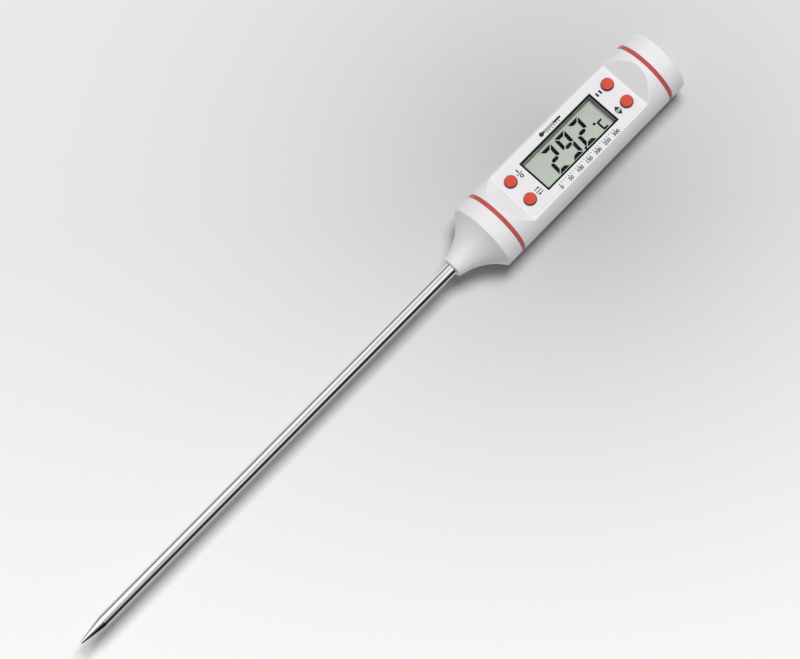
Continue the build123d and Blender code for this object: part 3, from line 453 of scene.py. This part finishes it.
def circle(u, v, radius, steps=40):
    angles = [math.tau * k / steps for k in range(steps)]
    return [(u + radius * math.cos(a), v + radius * math.sin(a)) for a in angles]


def arrow(u_tail, u_tip, v):
    """Arrow along u: a thin shaft that ends in a triangular head."""
    sign = math.copysign(1, u_tip - u_tail)
    neck = u_tip - sign * 0.8
    half = LINE / 2
    return [(u_tail, v - half), (neck, v - half), (neck, v - 0.4), (u_tip, v), (neck, v + 0.4),
            (neck, v + half), (u_tail, v + half)]


def printed(name, outlines, u_zero, v_zero, ink):
    """Thin ink solid from closed outlines; an outline inside another is a hole in it."""
    curve = bpy.data.curves.new(name + "_outline", "CURVE")
    curve.dimensions = "2D"
    curve.fill_mode = "BOTH"
    curve.extrude = INK_THICKNESS * MM / 2
    for outline in outlines:
        spline = curve.splines.new("POLY")
        spline.points.add(len(outline) - 1)
        for point, (u, v) in zip(spline.points, outline):
            point.co = (u * MM, v * MM, 0, 1)
        spline.use_cyclic_u = True
    return inked(name, curve, u_zero, v_zero, ink)


def numerals(name, text, height, u_zero, v_zero, ink):
    """Figures in Blender's own font, centred on a point."""
    curve = bpy.data.curves.new(name + "_figures", "FONT")
    curve.body = text
    curve.size = height * MM / CAPITAL_SHARE
    curve.align_x = "CENTER"
    curve.align_y = "CENTER"
    curve.offset = FIGURE_BOLD * MM
    curve.extrude = INK_THICKNESS * MM / 2
    return inked(name, curve, u_zero, v_zero, ink)


def inked(name, curve, u_zero, v_zero, ink):
    """Turns an outline into a mesh lying on the panel's face."""
    source = bpy.data.objects.new(name + "_source", curve)
    bpy.context.scene.collection.objects.link(source)
    bpy.context.view_layer.update()
    mesh = bpy.data.meshes.new_from_object(source.evaluated_get(bpy.context.evaluated_depsgraph_get()))
    bpy.data.objects.remove(source)
    bpy.data.curves.remove(curve)
    label_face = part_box("panel_label")[0].y - INK_THICKNESS * MM / 2
    turn = Matrix(((0, -1, 0, -v_zero * MM), (0, 0, -1, label_face), (1, 0, 0, u_zero * MM), (0, 0, 0, 1)))
    mesh.transform(turn)
    mesh.name = name
    mesh.materials.clear()
    mesh.materials.append(ink)
    mark = bpy.data.objects.new(name, mesh)
    bpy.context.scene.collection.objects.link(mark)
    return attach(mark, "housing")


def centre_mm(node):
    """Centre of a node on the panel as (u, v)."""
    low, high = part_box(node)
    return (low.z + high.z) / 2 / MM, -(low.x + high.x) / 2 / MM


def pause_mark(ink):
    """Two bars for holding a reading."""
    u, v = centre_mm("hold_button")
    u -= MARK_REACH
    shapes = [bar(u - 0.95, u - 0.3, v - 0.65, v + 0.65), bar(u + 0.3, u + 0.95, v - 0.65, v + 0.65)]
    printed("hold_mark", shapes, 0, 0, ink)


def high_low_mark(ink):
    """Triangles up and down for the highest and lowest readings."""
    u, v = centre_mm("max_min_button")
    u -= MAX_MIN_MARK_REACH
    up = [(u - 1.0, v + 0.35), (u + 1.0, v + 0.35), (u, v + 1.55)]
    down = [(u - 1.0, v - 0.35), (u, v - 1.55), (u + 1.0, v - 0.35)]
    printed("max_min_mark", [up, down, bar(u - 1.0, u + 1.0, v - LINE / 2, v + LINE / 2)], 0, 0, ink)


def power_mark(ink):
    """Stroke and ring for on and off."""
    u, v = centre_mm("on_off_button")
    u += MARK_REACH
    stroke = bar(u - LINE * 0.8, u + LINE * 0.8, v + 0.35, v + 1.5)
    divider = bar(u - 1.0, u + 1.0, v - LINE / 2, v + LINE / 2)
    ring = [circle(u, v - 0.95, 0.6), circle(u, v - 0.95, 0.6 - 1.4 * LINE)]
    printed("on_off_mark", [stroke, divider] + ring, 0, 0, ink)


def unit_mark(ink):
    """Opposed arrows about a line, for changing the unit."""
    u, v = centre_mm("unit_button")
    u += MARK_REACH
    line = bar(u - 1.1, u + 1.1, v - LINE / 2, v + LINE / 2)
    shapes = [arrow(u - 1.0, u + 1.0, v + 0.85), line, arrow(u + 1.0, u - 1.0, v - 0.85)]
    printed("unit_mark", shapes, 0, 0, ink)


def bulb_mark(ink):
    """Thermometer sign with graduations beside the display."""
    low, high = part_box("panel_label")
    bezel_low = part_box("display_bezel")[0]
    u = (low.z + high.z) / 2 / MM
    v = -(low.x + bezel_low.x) / 2 / MM
    bulb, stem, reach = 0.72, 0.34, 3.7
    join = math.sqrt(bulb * bulb - stem * stem)
    steps = 28
    gap = math.asin(stem / bulb)
    outline = []
    for k in range(steps + 1):
        angle = gap + (math.tau - 2 * gap) * k / steps
        outline.append((u - reach + bulb * math.cos(angle), v + bulb * math.sin(angle)))
    for k in range(9):
        angle = -math.pi / 2 + math.pi * k / 8
        outline.append((u + reach + stem * math.cos(angle), v + stem * math.sin(angle)))
    shapes = [outline, bar(u - reach + join + 0.5, u + 1.2, v - 0.1, v + 0.1)]
    for k in range(6):
        at = u - reach + 1.8 + k * 0.95
        shapes.append(bar(at - LINE / 2, at + LINE / 2, v - 1.05, v - 0.5))
    printed("bulb_mark", shapes, 0, 0, ink)


def scale_mark(ink):
    """Graduated scale along the other side of the display, with a figure at each long tick."""
    low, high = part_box("panel_label")
    bezel_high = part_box("display_bezel")[1]
    middle = (low.z + high.z) / 2 / MM
    inner = -bezel_high.x / MM - SCALE_INSET
    shapes = []
    start = middle - SCALE_SPACING * SCALE_STEPS / 2
    long_tick, short_tick = SCALE_TICKS
    for k in range(SCALE_STEPS + 1):
        length = short_tick if k % SCALE_MAJOR else long_tick
        at = start + k * SCALE_SPACING
        shapes.append(bar(at - LINE / 2, at + LINE / 2, inner - length, inner))
    printed("scale_mark", shapes, 0, 0, ink)
    for k in range(SCALE_STEPS // SCALE_MAJOR + 1):
        at = start + k * SCALE_MAJOR * SCALE_SPACING
        figure = str(k * SCALE_FIGURE_STEP)
        numerals("scale_figure_%d" % k, figure, FIGURE_HEIGHT, at, inner - SCALE_FIGURE_DROP, ink)


def add_marks(ink):
    pause_mark(ink)
    high_low_mark(ink)
    power_mark(ink)
    unit_mark(ink)
    bulb_mark(ink)
    scale_mark(ink)


# ---- floor, light and camera ----

def direction(azimuth, elevation):
    """Unit vector for a view angle: azimuth 0 is -Y and grows towards +X."""
    a, e = math.radians(azimuth), math.radians(elevation)
    return Vector((math.sin(a) * math.cos(e), -math.cos(a) * math.cos(e), math.sin(e)))


def looking_at(spot, target):
    """Turn of a lamp or camera at a spot that faces a target."""
    return (spot - target).to_track_quat("Z", "Y").to_matrix().to_4x4()


# Painted shade and light on the floor: it is painted a little darker behind one height of the handle,
# FLOOR_SHADE_Z, and painted paler away from it over FLOOR_FADE and towards the lower right over FLOOR_LOWER,
# all in millimetres.
FLOOR_SHADE_Z = 45.0
FLOOR_FADE = 62.0
FLOOR_LOWER = (-20.0, 110.0)
FLOOR_HALF = 2.5
FLOOR_GAP = 0.2


def add_floor():
    """Pale sheet that the handle lies on, seen from its front only."""
    half = FLOOR_HALF
    y = cad_box[1][1] + FLOOR_GAP * MM
    mesh = bpy.data.meshes.new("floor_sheet")
    corners = [(-half, y, -half), (half, y, -half), (half, y, half), (-half, y, half)]
    mesh.from_pydata(corners, [], [(0, 1, 2, 3)])
    sheet = bpy.data.objects.new("floor_sheet", mesh)
    bpy.context.scene.collection.objects.link(sheet)
    g = new_graph("floor_sheet")
    axes = g.axes()
    # Painted shade and light: the sheet's colour is darkest near the handle and pales away from it and
    # towards the lower right.
    above = g.math("ADD", axes["Z"], -FLOOR_SHADE_Z)
    spot = g.add("CombineXYZ", {"X": axes["X"], "Y": 0.0, "Z": above}).outputs[0]
    away = g.add("VectorMath", {0: spot}, operation="LENGTH").outputs["Value"]
    lower = g.math("MULTIPLY", g.math("SUBTRACT", axes["X"], axes["Z"]), math.sqrt(0.5))
    fade = g.math("SUBTRACT", 1.0, g.math("EXPONENT", g.math("MULTIPLY", away, -1 / FLOOR_FADE)))
    ramp = g.math("ADD", g.spread(fade, 0.49, 0.86, 0.0, 1.0), g.spread(lower, 0.0, 0.10, *FLOOR_LOWER))
    fibre = g.noise(1.5, 3.0)
    shade = g.tint((1.0, 1.0, 1.01), g.math("MULTIPLY", ramp, g.spread(fibre, 0.99, 1.0)))
    paper = g.add("BsdfDiffuse", {"Color": shade, "Roughness": 0.6}).outputs[0]
    nothing = g.add("BsdfTransparent", {}).outputs[0]
    behind = g.add("NewGeometry", {}).outputs["Backfacing"]
    unseen = g.math("MAXIMUM", behind, g.add("LightPath", {}).outputs["Is Glossy Ray"])
    mesh.materials.append(g.finish(g.add("MixShader", {0: unseen, 1: paper, 2: nothing}).outputs[0]))


KEY_AZIMUTH = 1
KEY_ELEVATION = 11
KEY_DISTANCE = 3.0
KEY_SIDE = 1.15
KEY_POWER = 83
KEY_COLOUR = (1.0, 0.995, 0.985)
KEY_TARGET = Vector((0, 0, 0.01))


def add_key_light():
    """One large soft lamp in front. Polished surfaces mirror the banded world instead of it."""
    light = bpy.data.lights.new("key", "AREA")
    light.shape = "RECTANGLE"
    light.size = KEY_SIDE
    light.size_y = KEY_SIDE
    light.energy = KEY_POWER
    light.color = KEY_COLOUR
    lamp = bpy.data.objects.new("key", light)
    bpy.context.scene.collection.objects.link(lamp)
    spot = KEY_TARGET + KEY_DISTANCE * direction(KEY_AZIMUTH, KEY_ELEVATION)
    lamp.matrix_world = Matrix.Translation(spot) @ looking_at(spot, KEY_TARGET)
    lamp.visible_glossy = False
    lamp.visible_camera = False


# Azimuth from the camera in degrees and brightness, for what polished surfaces mirror.
MIRRORED = [(-180, 0.92), (-125, 0.92), (-100, 0.62), (-86, 0.22), (-70, 0.22), (-54, 1.25), (0, 1.22),
            (32, 1.18), (50, 0.03), (92, 0.03), (122, 0.62), (180, 0.70)]

# A dim edge between two bright panels. It crosses the camera's azimuth at EDGE_RISE degrees up, shifts
# EDGE_SLOPE degrees aside for each degree, and fades over EDGE_SPAN. It is EDGE_LEVELS bright at EDGE_RISES.
EDGE_RISE = 7.86
EDGE_SLOPE = 6.2
EDGE_SPAN = (4.0, 22.0)
EDGE_LEVELS = (0.25, 0.5)
EDGE_RISES = (4.5, 10.6)

# Below the horizon the right-hand side is dark, which the ground point of the probe mirrors.
LOW_LEVEL = 0.2
LOW_RISES = (3.0, -8.0)
LOW_NEAR = (4.0, 16.0)
LOW_FAR = (110.0, 150.0)

SOFT_LIGHT = (0.155, 0.155, 0.16)
BACKDROP = (0.74, 0.74, 0.75)


def add_world():
    """Pale surroundings: soft for diffuse light, banded like a studio for mirrored light."""
    world = bpy.data.worlds.new("studio")
    bpy.context.scene.world = world
    g = Graph(world, "OutputWorld")
    way = g.add("SeparateXYZ", {0: g.add("TexCoord", {}).outputs["Generated"]}).outputs
    azimuth = g.math("ARCTAN2", way["X"], g.math("MULTIPLY", way["Y"], -1.0))
    turns = g.math("ADD", g.math("DIVIDE", azimuth, math.tau), 1.5 - CAMERA_AZIMUTH / 360)
    ramp = g.add("ValToRGB", {"Fac": g.math("FRACT", turns)})
    stops = ramp.color_ramp
    for k, (angle, level) in enumerate(MIRRORED):
        place = (angle + 180) / 360
        if k < 2:
            stop = stops.elements[k]
            stop.position = place
        else:
            stop = stops.elements.new(place)
        stop.color = rgb(level, level, level * 1.01)
    stops.interpolation = "EASE"
    rise = g.math("DEGREES", g.math("ARCSINE", way["Z"]))
    aside = g.math("SUBTRACT", g.math("DEGREES", azimuth), CAMERA_AZIMUTH)
    line = g.math("ADD", g.math("MULTIPLY", g.math("SUBTRACT", rise, EDGE_RISE), EDGE_SLOPE), aside)
    depth = g.spread(rise, *EDGE_LEVELS, *EDGE_RISES)
    dip = g.math("MAXIMUM", depth, g.spread(g.math("ABSOLUTE", line), 0.0, 1.0, *EDGE_SPAN))
    low = g.math("MULTIPLY", g.spread(rise, 0.0, 1.0, *LOW_RISES), g.spread(aside, 0.0, 1.0, *LOW_NEAR))
    low = g.math("MULTIPLY", low, g.spread(aside, 1.0, 0.0, *LOW_FAR))
    level = g.math("MULTIPLY", dip, g.spread(low, 1.0, LOW_LEVEL, 0.0, 1.0))
    mirrored = g.add("VectorMath", {0: ramp.outputs[0], 3: level}, operation="SCALE").outputs[0]
    path = g.add("LightPath", {}).outputs
    seen = g.mix(path["Is Glossy Ray"], rgb(*SOFT_LIGHT), mirrored)
    final = g.mix(path["Is Camera Ray"], seen, rgb(*BACKDROP))
    g.finish(g.add("Background", {"Color": final, "Strength": 1.0}).outputs[0])


def add_camera():
    camera = bpy.data.cameras.new("camera")
    camera.lens = CAMERA_LENS
    camera.sensor_width = CAMERA_SENSOR
    camera.clip_end = 20
    holder = bpy.data.objects.new("camera", camera)
    bpy.context.scene.collection.objects.link(holder)
    spot = CAMERA_TARGET + CAMERA_DISTANCE * direction(CAMERA_AZIMUTH, CAMERA_ELEVATION)
    rx, ry, rz = (math.radians(a) for a in CAMERA_TURN)
    turn = Matrix.Rotation(rx, 4, "X") @ Matrix.Rotation(ry, 4, "Y") @ Matrix.Rotation(rz, 4, "Z")
    holder.matrix_world = Matrix.Translation(spot) @ looking_at(spot, CAMERA_TARGET) @ turn
    bpy.context.scene.camera = holder


def set_view():
    """Plain colours, and enough bounces to see the digits through all the clear layers."""
    scene = bpy.context.scene
    scene.view_settings.view_transform = "Standard"
    scene.view_settings.look = "None"
    scene.cycles.transparent_max_bounces = TRANSPARENT_BOUNCES


materials = slot_materials()
dress_nodes(materials)
# Painted light: the bezel's own material paints its inner walls pale, as if lit by the display.
frame["nodes"]["display_bezel"].data.materials[0] = black_frame()
add_lcd_back(materials["lcd_reflector"])
add_marks(printed_ink("panel_ink", (0.035, 0.035, 0.04)))
add_floor()
add_key_light()
add_world()
add_camera()
set_view()
